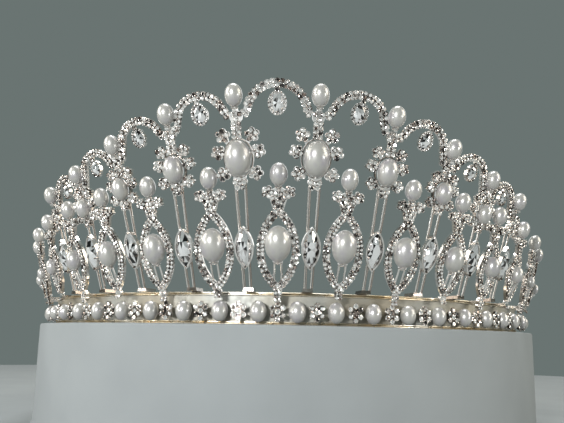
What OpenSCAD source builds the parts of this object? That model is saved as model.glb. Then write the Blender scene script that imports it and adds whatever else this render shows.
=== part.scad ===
// Bridal tiara.
// A horseshoe band carries oval pearls and small stone rosettes. In front of it stands a row of
// navette-shaped loops, each with a pearl in its eye and one on its tip. Behind the loops stands
// a row of wire stems with a crystal, a flower and a crest pearl, joined at the top by scallop
// arches with a crystal drop under each one.
//
// Millimetres. +X runs across the front, +Y from the front to the open back, +Z up. The origin is
// on the resting edge of the band, at the middle of its front.
//
// A motif's index is its place along the band, counted in pearl pitches from the middle of the
// front, negative to the wearer's right. In a motif's own frame X runs along the band, Y up the
// lean of the motif and Z out towards the viewer.

/* [Band] */
// Radius of the circle through the centres of the band pearls
pearl_ring_r = 78; // [76:0.5:80]
// Angle between two neighbouring band pearls
pitch = 6.8; // [6.7:0.1:7]
// Number of pearls on the band
band_pearl_count = 24; // [24:2:24]
// Width of the front band pearls
band_pearl_w = 4.2; // [3.8:0.1:4.2]
// Height of the front band pearls
band_pearl_h = 5.2; // [4.8:0.1:5.2]
// Height of the centres of the band pearls over the resting edge
pearl_z = 3.1; // [3.1:0.1:3.3]
// Depth of the two band rails
rail_depth = 1.2; // [1:0.1:1.2]
// Height of each band rail
rail_h = 0.9; // [0.8:0.05:0.9]
// Height of the whole band
band_h = 7.75; // [7.7:0.05:7.8]

/* [Lean] */
// Outward lean of the motifs at the front
lean_front = 20; // [17:1:22]
// Outward lean of the motifs at the sides
lean_side = 14; // [12:1:17]
// Sideways splay of the loops that each pitch adds, over the first three pitches
loop_splay_step = 0.8; // [0.7:0.1:0.9]
// Sideways splay of the stems that each pitch adds, over the first three pitches
stem_splay_step = 1.2; // [1.1:0.1:1.3]

/* [Loops] */
// Height of the tip pearl of the middle loop, up the lean
tip_y = 32.4; // [31.5:0.1:33]
// Height of the crossing above the eye of the middle loop
crossing_y = 25.4; // [25:0.1:25.8]
// Height of the eye pearl of the middle loop
eye_y = 16.5; // [16.2:0.1:16.8]
// Width of the eye pearl of the middle loop
eye_pearl_w = 6.2; // [5.8:0.1:6.3]
// Height of the eye pearl of the middle loop
eye_pearl_h = 8.4; // [8:0.1:8.6]
// How far the eye pearls stand out in front of their loops
eye_pearl_z = 1.2; // [1:0.1:1.3]
// Width of the stone-set strand of the middle loop
strand_w = 1.95; // [1.8:0.05:2]
// Width of the tip pearls and crest pearls
tip_pearl_w = 4.15; // [3.95:0.05:4.2]
// Height of the tip pearls and crest pearls
tip_pearl_h = 5.4; // [5.1:0.1:5.5]

/* [Stems] */
// Middle height of the crest pearls, up the lean
crest_y = 41.3; // [41:0.1:42]
// Half of the fall of the crest pearls from the front to the sides
crest_fall = 9.4; // [9:0.1:9.6]
// Middle height of the flowers
flower_y = 30.4; // [30.2:0.1:30.6]
// Half of the fall of the flowers from the front to the sides
flower_fall = 5.9; // [5.7:0.1:6]
// Width of the front flower pearls
flower_pearl_w = 6.2; // [6:0.1:6.2]
// Height of the front flower pearls
flower_pearl_h = 8.4; // [8.1:0.1:8.5]
// Height of the navette crystals' centres
navette_y = 15.2; // [15:0.1:15.4]
// Width of the front navette crystals
navette_w = 3.9; // [3.7:0.1:3.9]
// Length of the front navette crystals
navette_l = 9; // [8.6:0.1:9.2]
// Diameter of the stem wires
wire_d = 0.76; // [0.7:0.02:0.8]

/* [Arches] */
// Width of the stone-set strand of the front arch
arch_w = 2.2; // [2:0.05:2.2]
// Rise of an arch as a share of its half span
arch_rise = 0.82; // [0.8:0.01:0.84]
// Width of the front crystal drops
drop_w = 3.5; // [3.2:0.1:3.5]
// Height of the front crystal drops
drop_h = 4.8; // [4.5:0.1:4.8]

/* [Hidden] */
$fn = 48;

loop_ids = ["r7", "r6", "r5", "r4", "r3", "r2", "r1", "c", "l1", "l2", "l3", "l4", "l5", "l6", "l7"];
stem_ids = ["r5", "r4", "r3", "r2", "r1", "l1", "l2", "l3", "l4", "l5"];
arch_ids = ["r5", "r4", "r3", "r2", "r1", "c", "l1", "l2", "l3", "l4", "l5"];

// Loops stand every pitch and a half, and the stems midway between them
motif_step = 1.5;
loop_places = [for (n = [-7:7]) n * motif_step];
stem_places = [for (n = [-5:4]) (n + 0.5) * motif_step];
flower_places = [for (n = [-4:3]) (n + 0.5) * motif_step];
rosette_stem_places = [-4.5 * motif_step, 4.5 * motif_step];
band_pearl_places = [for (n = [0:band_pearl_count - 1]) n - (band_pearl_count - 1) / 2];
rosette_places = [for (n = [0:band_pearl_count]) n - band_pearl_count / 2];
taper_span = 9;

// How far each stem is bent aside by hand, in degrees towards the wearer's left
stem_bends = [0, 0.5, 0, 0, -1.3, 0, 0.4, 0.6, 0.5, 0];

// Band
strip_t = 0.6;
strip_out_r = pearl_ring_r - 2.2;
strip_in_r = strip_out_r - strip_t;
rail_mid_r = strip_out_r - strip_t / 2;
rail_in_r = rail_mid_r - rail_depth / 2;
rail_out_r = rail_mid_r + rail_depth / 2;
band_half_angle = (band_pearl_count / 2 + 0.42) * pitch;
peg_r = 0.35;
peg_slack = 0.03;
peg_l = 1.5;

// Eyelets for hairpins at the two ends
eyelet_r = 1.9;
eyelet_bore_r = 0.8;
eyelet_t = 0.9;
eyelet_reach = 2.6;
eyelet_tab_h = 2.4;

// Rosettes on the band
rosette_t = 0.6;
rosette_ring = [1.4, 1.7];
rosette_petal_r = 0.82;
stone_h = 0.55;

// Loops
loop_t = 1.2;
loop_foot_y = 4.5;
foot_r = 1.15;
toe_y = 3.3;
toe_r = 0.85;
side_lobe_r = 1.4;
side_lobe_x = 2.5;
cup_t = 0.4;
cup_gap = 0.05;
pave_t = 0.5;
pave_inset = 0.3;
bracket_w = 1.5;
prong_d = 0.5;

// Stems, arches and what they carry lie in a plane behind the loops
plate_z = -1.7;
plate_t = 1;
back_mid_z = plate_z + plate_t / 2;
// The pearls of the stems stand in front of that plane, on posts
stem_pearl_z = 0;
post_w = 1;
post_h = 0.6;
hub_r = 1.5;
hub_drop = 2.2;
wire_foot_y = 5;
foot_block_h = 0.8;
stem_foot_w = 2.6;
stem_foot_out = 0.9;
stem_neck_w = 2.5;
solder_gap = 0.08;
lobe_places = [[3.4, 5.2], [4.6, 1.4], [3.8, -3.6], [0, -5.8], [-3.8, -3.6], [-4.6, 1.4], [-3.4, 5.2]];
lobe_r = 1.65;
arm_w = 1;
flower_gap = 0.1;
flower_rim = 0.3;
bezel_z = -1;
bezel_wall = 0.4;
bezel_t = 1.3;
bezel_floor = 0.4;

// How the motifs change along the band
function side_share(i) = min(abs(i), taper_span) / taper_span;
function lean(i) = lean_front + (lean_side - lean_front) * side_share(i);
// Stems stand at odd multiples of half a step, and loops at whole steps
function is_stem(i) = abs(i / motif_step - round(i / motif_step)) > 0.25;
function stem_bend(i) = stem_bends[round(i / motif_step + 4.5)];
function splay(i) =
    is_stem(i) ? sign(i) * min(abs(i), 3) * stem_splay_step + stem_bend(i)
               : sign(i) * min(abs(i), 3) * loop_splay_step;
function height_taper(i) = 1 - 0.27 * pow(side_share(i), 1.3) - 0.04 * max(abs(i) - taper_span, 0);
function size_taper(i) = 1 - 0.6 * pow(side_share(i), 1.4);
function strand_taper(i) = 1 - 0.12 * side_share(i);
function flower_taper(i) = 1.13 - 0.185 * abs(i) + 0.0165 * i * i;
function tip_taper(i) = 1 - 0.15 * side_share(i);
function band_taper(i) = 1 - 0.2 * side_share(i);
function crest_wave(i) = cos(24 * i);
function crest_at(i) = crest_y + crest_fall * crest_wave(i);
function flower_at(i) = flower_y + flower_fall * crest_wave(i);
function hub_at(i) = crest_at(i) - tip_pearl_h * tip_taper(i) / 2 - hub_drop;

// Vector helpers
function turn_x(v, a) = [v.x, v.y * cos(a) - v.z * sin(a), v.y * sin(a) + v.z * cos(a)];
function turn_z(v, a) = [v.x * cos(a) - v.y * sin(a), v.x * sin(a) + v.y * cos(a), v.z];
function unit(v) = v / norm(v);
function heading(a) = [cos(a), sin(a)];
function oval(w, h, n = 24) = [for (k = [0:n - 1]) [w / 2 * cos(k * 360 / n), h / 2 * sin(k * 360 / n)]];
function lens_radius(half_l, half_w) = (half_l * half_l + half_w * half_w) / (2 * half_w);

// A direction, or a point of a motif, in the part's own frame
function motif_dir(i, v) = turn_z(turn_x(turn_z(v, -splay(i)), 90 + lean(i)), i * pitch);
function motif_point(i, p) =
    turn_z([0, -pearl_ring_r, 0], i * pitch) + [0, rail_mid_r, pearl_z] + motif_dir(i, p);

// Stands its children at a place on the band, upright
module on_band(i) {
    translate([0, rail_mid_r, pearl_z])
        rotate([0, 0, i * pitch])
            translate([0, -pearl_ring_r, 0])
                rotate([90, 0, 0])
                    children();
}

// Stands its children at a place on the band, leaning and splayed as the motifs do
module on_motif(i) {
    on_band(i)
        rotate([lean(i), 0, 0])
            rotate([0, 0, -splay(i)])
                children();
}

// A horseshoe bar of rectangular section that follows the band
module band_bar(in_r, out_r, low, high) {
    translate([0, rail_mid_r, 0])
        rotate([0, 0, -90 - band_half_angle])
            rotate_extrude(angle = 2 * band_half_angle, $fn = 180)
                translate([in_r, low])
                    square([out_r - in_r, high - low]);
}

// An oval pearl that stands along Y, with its drill hole from below or from behind
module pearl(w, h, hole) {
    steps = 11;
    step = 180 / steps;
    difference() {
        rotate([-90, 0, 0])
            rotate_extrude()
                polygon([for (k = [0:steps]) [w / 2 * cos(k * step - 90), h / 2 * sin(k * step - 90)]]);
        if (hole == "below")
            translate([0, -h / 2 - 1, 0])
                rotate([-90, 0, 0])
                    cylinder(h = 1 + peg_l, r = peg_r + peg_slack);
        else
            translate([0, 0, -w / 2 - 1])
                cylinder(h = 1 + peg_l, r = peg_r + peg_slack);
    }
}

// A dish with a peg that carries a pearl standing on it, its rim just under y
module pearl_cup(y, z, r) {
    translate([0, y - cup_gap - cup_t, z])
        rotate([-90, 0, 0]) {
            cylinder(h = cup_t, r = r);
            cylinder(h = cup_t + cup_gap + peg_l, r = peg_r);
        }
}

// A straight wire between two points
module wire(from, to, d) {
    run = to - from;
    translate(from)
        rotate([0, acos(run.z / norm(run)), atan2(run.y, run.x)])
            cylinder(h = norm(run), d = d);
}

// A pointed oval between two arcs, inset all round by cut
module lens(half_l, half_w, cut = 0) {
    r = lens_radius(half_l, half_w);
    intersection_for (side = [-1, 1])
        translate([side * (r - half_w), 0])
            circle(r = r - cut, $fn = 96);
}

// A small round stone in its claws
module stone(r) {
    cylinder(h = stone_h, r1 = r, r2 = 0.55 * r);
}

// A small round cluster: five discs round a middle one, with a disc towards +X
module lobe(r) {
    circle(r = 0.5 * r);
    for (k = [0:4])
        rotate([0, 0, 72 * k])
            translate([0.62 * r, 0])
                circle(r = 0.46 * r);
}

module lobe_stones(r, first) {
    for (k = [first:4])
        rotate([0, 0, 72 * k])
            translate([0.62 * r, 0, 0])
                stone(0.34 * r);
}

// ---- Band ----

module band_strip() {
    color("lightgray") {
        band_bar(strip_in_r, strip_out_r, rail_h, band_h - rail_h);
        for (i = band_pearl_places) {
            peg_tip = peg_l - band_pearl_w * band_taper(i) / 2;
            on_band(i)
                translate([0, 0, peg_tip])
                    mirror([0, 0, 1])
                        cylinder(h = pearl_ring_r + peg_tip - strip_out_r + strip_t / 2, r = peg_r);
        }
    }
}

module upper_rail() {
    color("silver")
        band_bar(rail_in_r, rail_out_r, band_h - rail_h, band_h);
}

module lower_rail() {
    color("silver")
        band_bar(rail_in_r, rail_out_r, 0, rail_h);
}

// A flat ring with a tab, standing on the end face of the strip on the given side
module pin_eyelet(side) {
    color("silver")
        translate([0, rail_mid_r, band_h / 2])
            rotate([0, 0, side * band_half_angle])
                translate([0, -rail_mid_r, 0])
                    rotate([90, 0, 0])
                        difference() {
                            union() {
                                translate([side * eyelet_reach, 0, 0])
                                    cylinder(h = eyelet_t, r = eyelet_r, center = true);
                                translate([side * eyelet_reach / 2, 0, 0])
                                    cube([eyelet_reach, eyelet_tab_h, strip_t], center = true);
                            }
                            translate([side * eyelet_reach, 0, 0])
                                cylinder(h = 2 * eyelet_t, r = eyelet_bore_r, center = true);
                        }
}

module band_pearls() {
    color("ivory")
        for (i = band_pearl_places)
            on_band(i)
                pearl(band_pearl_w * band_taper(i), band_pearl_h * band_taper(i), "behind");
}

// Six petals round a middle disc
module rosette_outline(petal_r) {
    circle(r = petal_r + 0.3);
    for (k = [0:5])
        translate([rosette_ring.x * cos(60 * k + 30), rosette_ring.y * sin(60 * k + 30)])
            circle(r = petal_r);
}

// A rosette on a short post from the strip
module rosette_setting() {
    translate([0, 0, -rosette_t / 2])
        linear_extrude(height = rosette_t)
            rosette_outline(rosette_petal_r);
    translate([0, 0, strip_out_r - pearl_ring_r])
        cylinder(h = pearl_ring_r - strip_out_r, r = 0.8);
}

module band_rosettes() {
    color("silver")
        for (i = rosette_places)
            on_band(i)
                rosette_setting();
}

module rosette_stones() {
    translate([0, 0, rosette_t / 2]) {
        stone(0.62);
        for (k = [0:5])
            translate([rosette_ring.x * cos(60 * k + 30), rosette_ring.y * sin(60 * k + 30), 0])
                stone(0.62);
    }
}

module band_stones() {
    color("aliceblue")
        for (i = rosette_places)
            on_band(i)
                rosette_stones();
}

// ---- Loops ----

function loop_mid(i) = (crossing_y * height_taper(i) + loop_foot_y) / 2;
function loop_half_l(i) = (crossing_y * height_taper(i) - loop_foot_y) / 2;
function loop_half_w(i) = eye_pearl_w * size_taper(i) / 2 + strand_w * strand_taper(i) + 0.03;

// The lens ring of a loop's strand, inset all round by inset
module strand_ring(i, inset = 0) {
    translate([0, loop_mid(i)])
        difference() {
            lens(loop_half_l(i), loop_half_w(i), inset);
            lens(loop_half_l(i), loop_half_w(i), strand_w * strand_taper(i) - inset);
        }
}

function tip_bottom(i) = tip_y * height_taper(i) - tip_pearl_h * tip_taper(i) / 2;
function stands_over_rosette(i) = abs(i - round(i)) < 0.25;

// The flat outline of a loop: foot, strands, a filled head with side lobes and the neck of the tip pearl
module loop_outline(i) {
    size = height_taper(i);
    head_low = crossing_y * size - 1.2;
    lobe_mid = tip_bottom(i) - 1.4 * size;
    strand_ring(i);
    translate([0, loop_foot_y])
        circle(r = foot_r);
    if (stands_over_rosette(i))
        translate([0, toe_y])
            circle(r = toe_r);
    polygon([
        [-1.2 * size, head_low],
        [1.2 * size, head_low],
        [side_lobe_x * size, lobe_mid],
        [0.8 * size, lobe_mid + size],
        [0.8 * size, tip_bottom(i) - cup_gap - cup_t / 2],
        [-0.8 * size, tip_bottom(i) - cup_gap - cup_t / 2],
        [-0.8 * size, lobe_mid + size],
        [-side_lobe_x * size, lobe_mid]
    ]);
    for (side = [-1, 1])
        translate([side * side_lobe_x * size, lobe_mid])
            rotate([0, 0, 90 + side * 90])
                lobe(side_lobe_r * size);
}

module loop_frame(i) {
    eye_bottom = eye_y * height_taper(i) - eye_pearl_h * size_taper(i) / 2;
    inner_end = loop_mid(i) - loop_half_l(i) + strand_w * strand_taper(i);
    prong_x = 0.85 * size_taper(i);
    bracket_out = pearl_ring_r + loop_foot_y * tan(lean(i)) + 0.2;
    color("silver") {
        on_motif(i) {
            translate([0, 0, -loop_t / 2])
                linear_extrude(height = loop_t)
                    loop_outline(i);
            for (side = [-1, 1])
                wire([side * prong_x, inner_end, 0],
                     [side * prong_x, eye_bottom - cup_gap - cup_t / 2, eye_pearl_z], prong_d);
            pearl_cup(eye_bottom, eye_pearl_z, prong_x + 0.35);
            pearl_cup(tip_bottom(i), 0, 0.95);
        }
        on_band(i)
            translate([-bracket_w / 2, band_h - rail_h - pearl_z + 0.1, rail_out_r - pearl_ring_r])
                cube([bracket_w, rail_h - 0.2, bracket_out - rail_out_r]);
    }
}

module loop_pave() {
    color("aliceblue")
        for (i = loop_places)
            on_motif(i)
                translate([0, 0, loop_t / 2])
                    linear_extrude(height = pave_t)
                        strand_ring(i, pave_inset);
}

module eye_pearls() {
    color("ivory")
        for (i = loop_places)
            on_motif(i)
                translate([0, eye_y * height_taper(i), eye_pearl_z])
                    pearl(eye_pearl_w * size_taper(i), eye_pearl_h * size_taper(i), "below");
}

module tip_pearls() {
    color("ivory")
        for (i = loop_places)
            on_motif(i)
                translate([0, tip_y * height_taper(i), 0])
                    pearl(tip_pearl_w * tip_taper(i), tip_pearl_h * tip_taper(i), "below");
}

// ---- Stems ----

function has_flower(i) = abs(i) < 4 * motif_step;
function flower_hole_half_h(i) = flower_pearl_h * flower_taper(i) / 2 + flower_gap;
function flower_top(i) =
    flower_at(i) + (has_flower(i) ? flower_hole_half_h(i) + flower_rim : rosette_ring.y);

// Each lobe has a disc towards the middle of the flower
function lobe_turn(k) = atan2(lobe_places[k].y, lobe_places[k].x) + 180;
function lobe_size(i) = lobe_r * sqrt(flower_taper(i));
// The lobes shrink less than their flower does, so they stand out further to clear its pearl
function lobe_at(i, k) =
    let (size = flower_taper(i))
    lobe_places[k] * size + unit(lobe_places[k]) * (lobe_size(i) - lobe_r * size);

// The lobe under the pearl has no stone where the pearl's post stands
function first_stone(k) = lobe_places[k].x == 0 ? 1 : 0;

// An arm from the middle of a flower to one of its lobes
module lobe_arm(place) {
    rotate([0, 0, atan2(place.y, place.x)])
        translate([0, -arm_w / 2])
            square([norm(place), arm_w]);
}

// The open oval that a flower pearl sits in, with its seven lobes
module flower_outline(i) {
    size = flower_taper(i);
    w = flower_pearl_w * size + 2 * flower_gap;
    h = flower_pearl_h * size + 2 * flower_gap;
    difference() {
        union() {
            polygon(oval(w + 2 * flower_rim, h + 2 * flower_rim));
            for (k = [0:len(lobe_places) - 1]) {
                lobe_arm(lobe_at(i, k));
                translate(lobe_at(i, k))
                    rotate([0, 0, lobe_turn(k)])
                        lobe(lobe_size(i));
            }
        }
        polygon(oval(w, h));
    }
}

// A rim and floor for a pointed crystal
module navette_bezel(half_l, half_w) {
    linear_extrude(height = bezel_t)
        difference() {
            lens(half_l + 1.8 * bezel_wall, half_w + bezel_wall);
            lens(half_l, half_w);
        }
    linear_extrude(height = bezel_floor)
        lens(half_l + bezel_wall, half_w + bezel_wall / 2);
}

// A square post that stands out from the plate of a stem to the middle plane of its pearls, below y
module pearl_post(y) {
    translate([-post_w / 2, y - post_h, plate_z])
        cube([post_w, post_h, stem_pearl_z + post_w / 2 - plate_z]);
}

module stem_frame(i) {
    top = flower_top(i);
    hub = hub_at(i);
    crest_bottom = crest_at(i) - tip_pearl_h * tip_taper(i) / 2;
    cup_mid = crest_bottom - cup_gap - cup_t / 2;
    neck_w = stem_neck_w * strand_taper(i);
    wire_top = has_flower(i) ? flower_at(i) - flower_hole_half_h(i) - 0.2 : top - 1;
    peg_top = wire_top + flower_gap + 0.2 + peg_l;
    color("silver") {
        on_motif(i) {
            for (side = [-1, 1])
                wire([side * 0.75, wire_foot_y, back_mid_z],
                     [side * 1.15 * strand_taper(i), wire_top, back_mid_z], wire_d);
            translate([0, navette_y, bezel_z])
                navette_bezel(navette_l * strand_taper(i) / 2, navette_w * strand_taper(i) / 2);
            translate([0, 0, plate_z])
                linear_extrude(height = plate_t) {
                    translate([-neck_w / 2, top - flower_rim / 2])
                        square([neck_w, hub - top + flower_rim / 2]);
                    translate([0, flower_at(i)])
                        if (has_flower(i))
                            flower_outline(i);
                        else
                            rosette_outline(rosette_petal_r + 0.15);
                }
            if (has_flower(i)) {
                pearl_post(wire_top + 0.1);
                wire([0, wire_top, stem_pearl_z], [0, peg_top, stem_pearl_z], 2 * peg_r);
            }
            translate([0, hub, plate_z])
                cylinder(h = plate_t, r = hub_r * tip_taper(i));
            translate([-post_w / 2, hub, plate_z])
                cube([post_w, cup_mid - hub, plate_t]);
            pearl_post(cup_mid);
            pearl_cup(crest_bottom, stem_pearl_z, 0.9);
        }
        on_band(i)
            translate([-stem_foot_w / 2, band_h - pearl_z, rail_in_r - pearl_ring_r])
                cube([stem_foot_w, foot_block_h, pearl_ring_r + stem_foot_out - rail_in_r]);
    }
}

module navette_crystals() {
    color("aliceblue")
        for (i = stem_places)
            on_motif(i)
                translate([0, navette_y, bezel_z + bezel_floor]) {
                    half_l = navette_l * strand_taper(i) / 2 - 0.05;
                    half_w = navette_w * strand_taper(i) / 2 - 0.05;
                    linear_extrude(height = bezel_t - bezel_floor)
                        lens(half_l, half_w);
                    translate([0, 0, bezel_t - bezel_floor])
                        linear_extrude(height = 0.6)
                            lens(half_l, half_w, 0.5);
                }
}

module flower_pearls() {
    color("ivory")
        for (i = flower_places)
            on_motif(i)
                translate([0, flower_at(i), stem_pearl_z])
                    pearl(flower_pearl_w * flower_taper(i), flower_pearl_h * flower_taper(i), "below");
}

module flower_stones() {
    color("aliceblue") {
        for (i = flower_places)
            on_motif(i)
                translate([0, flower_at(i), plate_z + plate_t])
                    for (k = [0:len(lobe_places) - 1])
                        translate(lobe_at(i, k))
                            rotate([0, 0, lobe_turn(k)])
                                lobe_stones(lobe_size(i), first_stone(k));
        for (i = rosette_stem_places)
            on_motif(i)
                translate([0, flower_at(i), plate_z + plate_t - rosette_t / 2])
                    rosette_stones();
    }
}

module crest_pearls() {
    color("ivory")
        for (i = stem_places)
            on_motif(i)
                translate([0, crest_at(i), stem_pearl_z])
                    pearl(tip_pearl_w * tip_taper(i), tip_pearl_h * tip_taper(i), "below");
}

// ---- Arches ----

// The end arches lean down to the neck of the loop next to the last stem
last_stem = 4.5 * motif_step;
last_loop = 5 * motif_step;
function end_point(side) =
    motif_point(side * last_loop, [0, (crossing_y + 3.4) * height_taper(last_loop), back_mid_z - 0.7]);
function hub_point(i) = motif_point(i, [0, hub_at(i), back_mid_z]);
function arch_start(n) = n == -5 ? end_point(-1) : hub_point((n - 0.5) * motif_step);
function arch_end(n) = n == 5 ? end_point(1) : hub_point((n + 0.5) * motif_step);
function is_end_arch(n) = abs(n) == 5;
function arch_half_span(n) = norm(arch_end(n) - arch_start(n)) / 2;
function arch_top(n) = arch_half_span(n) * (is_end_arch(n) ? 0.6 : arch_rise);
function arch_strand(n) = arch_w * strand_taper(n * motif_step);
function across(n) = unit(arch_end(n) - arch_start(n));
function upward(n) =
    let (up = motif_dir(n * motif_step, [0, 1, 0]))
    unit(up - (up * across(n)) * across(n));

// Puts its children in an arch's frame: X along the chord, Y up, Z outward, from the chord's middle
module on_arch(n) {
    x = across(n);
    y = upward(n);
    z = cross(x, y);
    middle = arch_middle(n);
    multmatrix([
        [x.x, y.x, z.x, middle.x],
        [x.y, y.y, z.y, middle.y],
        [x.z, y.z, z.z, middle.z],
        [0, 0, 0, 1]
    ])
        children();
}

// A point of the part, in the plane of an arch
function arch_middle(n) = (arch_start(n) + arch_end(n)) / 2;
function in_arch(n, p) = [(p - arch_middle(n)) * across(n), (p - arch_middle(n)) * upward(n)];

// Room for the crest pearls, their necks and their hubs at both feet of an arch
module crest_room(n) {
    for (i = [(n - 0.5) * motif_step, (n + 0.5) * motif_step])
        if (abs(i) <= last_stem) {
            foot = in_arch(n, hub_point(i));
            seat = in_arch(n, motif_point(i, [0, crest_at(i), stem_pearl_z]));
            rise = seat - foot;
            translate(foot)
                rotate([0, 0, atan2(rise.y, rise.x) - 90]) {
                    circle(r = hub_r * tip_taper(i) + solder_gap);
                    translate([-0.95, 0])
                        square([1.9, norm(rise)]);
                    translate([0, norm(rise)])
                        polygon(oval(tip_pearl_w * tip_taper(i) + 0.3, tip_pearl_h * tip_taper(i) + 0.3));
                }
        }
}

// One edge of a scallop, off to the outer side of its middle line: a round top whose feet curl outward
function scallop_edge(n, off) =
    let (half = arch_half_span(n), turn = 2 * atan(arch_top(n) / half), total_r = half / sin(turn))
    let (top_r = 0.72 * total_r, curl_r = total_r - top_r, top_steps = 30, curl_steps = 8)
    concat(
        [for (k = [0:curl_steps - 1])
            [-half, curl_r] + (curl_r - off) * heading(-90 + turn * k / curl_steps)],
        [for (k = [0:top_steps])
            [0, arch_top(n) - top_r] + (top_r + off) * heading(90 + turn - 2 * turn * k / top_steps)],
        [for (k = [1:curl_steps])
            [half, curl_r] + (curl_r - off) * heading(-90 - turn + turn * k / curl_steps)]
    );

// The flat outline of a scallop w wide, clear of the crest pearls and hubs
module scallop(n, w) {
    inner = scallop_edge(n, -w / 2);
    difference() {
        polygon(concat(scallop_edge(n, w / 2), [for (k = [len(inner) - 1:-1:0]) inner[k]]));
        crest_room(n);
    }
}

function drop_size(n) = 1 - 0.45 * side_share(n * motif_step);
function drop_mid(n) = arch_top(n) - arch_strand(n) / 2 - 3.4 * drop_size(n);
drop_facets = 12;
link_w = 0.7;

// The flat outline of the rim of a drop, with its link up to the strand
module drop_outline(n) {
    size = drop_size(n);
    rim = 2 * bezel_wall + 0.3;
    link_top = arch_top(n) - arch_strand(n) / 2;
    translate([0, drop_mid(n)])
        polygon(oval(drop_w * size + rim, drop_h * size + rim));
    translate([-link_w / 2, drop_mid(n)])
        square([link_w, link_top + 0.5 - drop_mid(n)]);
    translate([0, link_top - 0.45 * size])
        circle(r = 0.7 * size);
}

module arch_frame(n) {
    size = drop_size(n);
    color("silver")
        on_arch(n)
            translate([0, 0, -plate_t / 2])
                if (is_end_arch(n))
                    linear_extrude(height = plate_t)
                        scallop(n, arch_strand(n));
                else {
                    linear_extrude(height = plate_t)
                        difference() {
                            union() {
                                scallop(n, arch_strand(n));
                                drop_outline(n);
                            }
                            translate([0, drop_mid(n)])
                                polygon(oval(drop_w * size, drop_h * size, drop_facets));
                        }
                    linear_extrude(height = bezel_floor)
                        translate([0, drop_mid(n)])
                            polygon(oval(drop_w * size + bezel_wall, drop_h * size + bezel_wall));
                }
}

module arch_pave() {
    color("aliceblue")
        for (n = [-5:5])
            on_arch(n)
                translate([0, 0, plate_t / 2])
                    linear_extrude(height = pave_t)
                        scallop(n, arch_strand(n) - 2 * pave_inset);
}

module drop_crystals() {
    color("aliceblue")
        for (n = [-4:4])
            on_arch(n)
                translate([0, drop_mid(n), bezel_floor - plate_t / 2]) {
                    w = drop_w * drop_size(n) - 0.1;
                    h = drop_h * drop_size(n) - 0.1;
                    linear_extrude(height = plate_t - bezel_floor)
                        polygon(oval(w, h, drop_facets));
                    translate([0, 0, plate_t - bezel_floor])
                        linear_extrude(height = 0.5)
                            polygon(oval(0.75 * w, 0.75 * h, drop_facets));
                }
}

// ---- Nodes ----

band_strip();
upper_rail();
lower_rail();
pin_eyelet(-1);  // pin_eyelet_r
pin_eyelet(1);  // pin_eyelet_l
band_pearls();
band_rosettes();
band_stones();
for (n = [-7:7])
    loop_frame(n * motif_step);
loop_pave();
eye_pearls();
tip_pearls();
for (n = [-5:4])
    stem_frame((n + 0.5) * motif_step);
navette_crystals();
flower_pearls();
flower_stones();
crest_pearls();
for (n = [-5:5])
    arch_frame(n);
arch_pave();
drop_crystals();
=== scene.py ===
"""Bridal tiara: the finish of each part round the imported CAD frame.

Lengths are in millimetres until a piece is made, and in metres from then on. A motif is one of the
upright ornaments. Its index is its place along the band, in pearl pitches from the middle of the
front, negative to the wearer's right. In a motif's own frame X runs along the band, Y up its lean
and Z out towards the viewer.
"""

import math

import bpy
import numpy as np
from mathutils import Matrix


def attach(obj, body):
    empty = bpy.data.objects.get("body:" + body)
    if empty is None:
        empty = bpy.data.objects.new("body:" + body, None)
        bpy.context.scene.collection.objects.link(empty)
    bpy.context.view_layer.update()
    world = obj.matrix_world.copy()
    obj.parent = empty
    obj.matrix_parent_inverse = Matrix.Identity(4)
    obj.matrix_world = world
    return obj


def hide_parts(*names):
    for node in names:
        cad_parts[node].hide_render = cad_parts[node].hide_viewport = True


MM = 0.001
BODY = "root"

# Band: degrees from pearl to pearl, radii about the middle of the head, heights above its foot
PITCH = 6.8
PEARL_RING_R = 78.0
RAIL_MID_R = 75.5
STRIP_OUT_R = 75.8
PEARL_Z = 3.1
BAND_HALF_ANGLE = 12.42 * PITCH
BAND_H = 7.75
RAIL_H = 0.9
RAIL_DEPTH = 1.2
RAIL_CORNER_R = 0.2
RAIL_GROOVE = (0.4, 0.32)

# Pearls: width and height, then the drill hole
BAND_PEARL = (4.2, 5.2)
EYE_PEARL = (6.2, 8.4)
TIP_PEARL = (4.15, 5.4)
FLOWER_PEARL = (6.2, 8.4)
PEG_HOLE_R = 0.38
PEG_HOLE_DEPTH = 1.5

# Motifs: pitches from one to the next, and from the middle to the end of the taper and the fan
MOTIF_STEP = 1.5
TAPER_SPAN = 9
FAN_SPAN = 3
FRONT_LEAN = 20
LEAN_LOSS = 6
LOOP_SPLAY = 0.8
STEM_SPLAY = 1.2
STEM_BENDS = [0, 0.5, 0, 0, -1.3, 0, 0.4, 0.6, 0.5, 0]

# Loops: heights from the pearl row before the taper, depths from the plane of the pearls
STRAND_W = 1.95
LOOP_BOTTOM_Y = 4.5
EYE_Y = 16.5
LOOP_TOP_Y = 25.4
TIP_Y = 32.4
EYE_PEARL_Z = 1.2
LOOP_PLATE = (-0.6, 0.2)
LOOP_STONE_Z = 0.62
FOOT_TOP_Y = 6.2
FOOT_HALF_W = 0.9
SIDE_LOBE_R = 1.4
SIDE_LOBE_X = 2.5
PRONG_X = 0.85
PRONG_R = 0.25

# Stems: the wires, flowers and necks lie behind the plane of the pearls
BACK_Z = -1.2
STEM_PEARL_Z = 0.0
STEM_BACK = -1.7
STEM_STONE_Z = -0.38
STEM_NECK_W = 2.5
HUB_R = 1.5
HUB_DROP = 2.2
FLOWER_RIM = 0.3
RING_GAP = 0.2
LOBE_R = 1.65
LOBE_STONE_Z = -0.35
LOBE_PLACES = [(3.4, 5.2), (4.6, 1.4), (3.8, -3.6), (0, -5.8),
               (-3.8, -3.6), (-4.6, 1.4), (-3.4, 5.2)]
NAVETTE = (3.9, 9.0)
NAVETTE_Y = 15.2

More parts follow.
